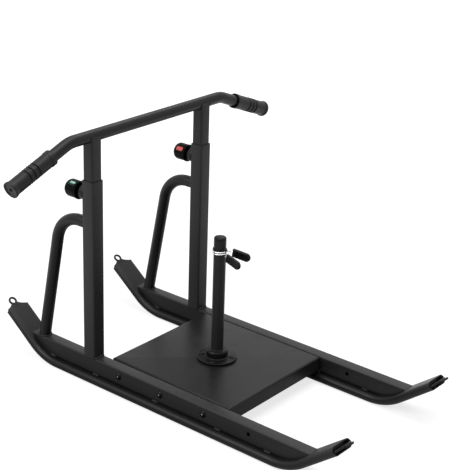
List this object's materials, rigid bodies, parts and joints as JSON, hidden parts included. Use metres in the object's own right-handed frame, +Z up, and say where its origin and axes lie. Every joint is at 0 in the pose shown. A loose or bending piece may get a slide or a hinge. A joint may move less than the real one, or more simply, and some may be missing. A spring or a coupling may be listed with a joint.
{
  "type": "drag sled",
  "caption": "Push and drag sled with upturned flat-oval skis, a folded deck with a weight post and spring clip, low side handles and a push bar that telescopes on two uprights with pull pins.",
  "frame": {"origin": "on the ground under the weight post, midway between the skis and midway along them", "axes": "+X forward, away from the push bar; +Y to the left; +Z up, along the weight post"},
  "size_m": [1.0236, 0.8644, 0.6145],
  "materials": {
    "black_paint": "matt black powder coat",
    "black_plastic": "matt moulded",
    "grip_rubber": "moulded rubber",
    "clip_rubber": "dipped vinyl",
    "knob_gloss": "polished",
    "inlay_green": "polished",
    "inlay_red": "polished",
    "clip_chrome": "bright chrome",
    "bright_steel": "zinc plated",
    "black_screw": "black oxide"
  },
  "bodies": {
    "frame": {"right_ski": "black_paint", "right_rail": "black_paint", "rear_right_tow_eye": "black_paint", "rear_right_ski_plug": "black_plastic", "front_right_tow_eye": "black_paint", "front_right_ski_plug": "black_plastic", "right_sleeve": "black_paint", "right_bushing": "black_plastic", "right_low_handle": "black_paint", "right_pin_housing": "black_paint", "right_pin_spring": "bright_steel", "right_deck_screw_1": "black_screw", "right_deck_nut_1": "bright_steel", "right_deck_screw_2": "black_screw", "right_deck_nut_2": "bright_steel", "right_deck_screw_3": "black_screw", "right_deck_nut_3": "bright_steel", "left_ski": "black_paint", "left_rail": "black_paint", "rear_left_tow_eye": "black_paint", "rear_left_ski_plug": "black_plastic", "front_left_tow_eye": "black_paint", "front_left_ski_plug": "black_plastic", "left_sleeve": "black_paint", "left_bushing": "black_plastic", "left_low_handle": "black_paint", "left_pin_housing": "black_paint", "left_pin_spring": "bright_steel", "left_deck_screw_1": "black_screw", "left_deck_nut_1": "bright_steel", "left_deck_screw_2": "black_screw", "left_deck_nut_2": "bright_steel", "left_deck_screw_3": "black_screw", "left_deck_nut_3": "bright_steel", "deck": "black_paint", "weight_pole_base": "black_paint", "flange_screw_1": "black_screw", "flange_nut_1": "bright_steel", "flange_screw_2": "black_screw", "flange_nut_2": "bright_steel", "flange_screw_3": "black_screw", "flange_nut_3": "bright_steel", "flange_screw_4": "black_screw", "flange_nut_4": "bright_steel", "weight_pole": "black_paint", "weight_pole_cap": "black_plastic"},
    "handle": {"right_post": "black_paint", "right_grip": "grip_rubber", "left_post": "black_paint", "left_grip": "grip_rubber", "push_bar": "black_paint"},
    "right_pull": {"right_pull_pin": "bright_steel", "right_knob": "knob_gloss", "right_knob_inlay": "inlay_green"},
    "left_pull": {"left_pull_pin": "bright_steel", "left_knob": "knob_gloss", "left_knob_inlay": "inlay_red"},
    "clip": {"clip_coil": "clip_chrome"},
    "right_clip_lever": {"right_clip_grip": "clip_rubber"},
    "left_clip_lever": {"left_clip_grip": "clip_rubber"}
  },
  "joints": [
    {"name": "handle_height", "type": "slide", "parent": "frame", "child": "handle", "axis": [0, 0, 1], "range_m": [-0.075, 0.075]},
    {"name": "right_pin_pull", "type": "slide", "parent": "frame", "child": "right_pull", "axis": [-1, 0, 0], "range_m": [0, 0.01], "stiffness_N_per_m": 600, "springref_m": -0.006, "deforming": ["right_pin_spring"]},
    {"name": "left_pin_pull", "type": "slide", "parent": "frame", "child": "left_pull", "axis": [-1, 0, 0], "range_m": [0, 0.01], "stiffness_N_per_m": 600, "springref_m": -0.006, "deforming": ["left_pin_spring"]},
    {"name": "clip_slide", "type": "slide", "parent": "frame", "child": "clip", "axis": [0, 0, 1], "range_m": [-0.23, 0.024]},
    {"name": "right_clip_squeeze", "type": "hinge", "parent": "clip", "child": "right_clip_lever", "pos_m": [0, 0, 0.3342], "axis": [0, 0, 1], "range_deg": [0, 9], "stiffness_Nm_per_rad": 2, "deforming": ["clip_coil"]},
    {"name": "left_clip_squeeze", "type": "hinge", "parent": "clip", "child": "left_clip_lever", "pos_m": [0, 0, 0.3342], "axis": [0, 0, 1], "range_deg": [-9, 0], "stiffness_Nm_per_rad": 2}
  ],
  "couplings": [
    {"joint": "left_clip_squeeze", "follows": "right_clip_squeeze", "ratio": -1}
  ]
}
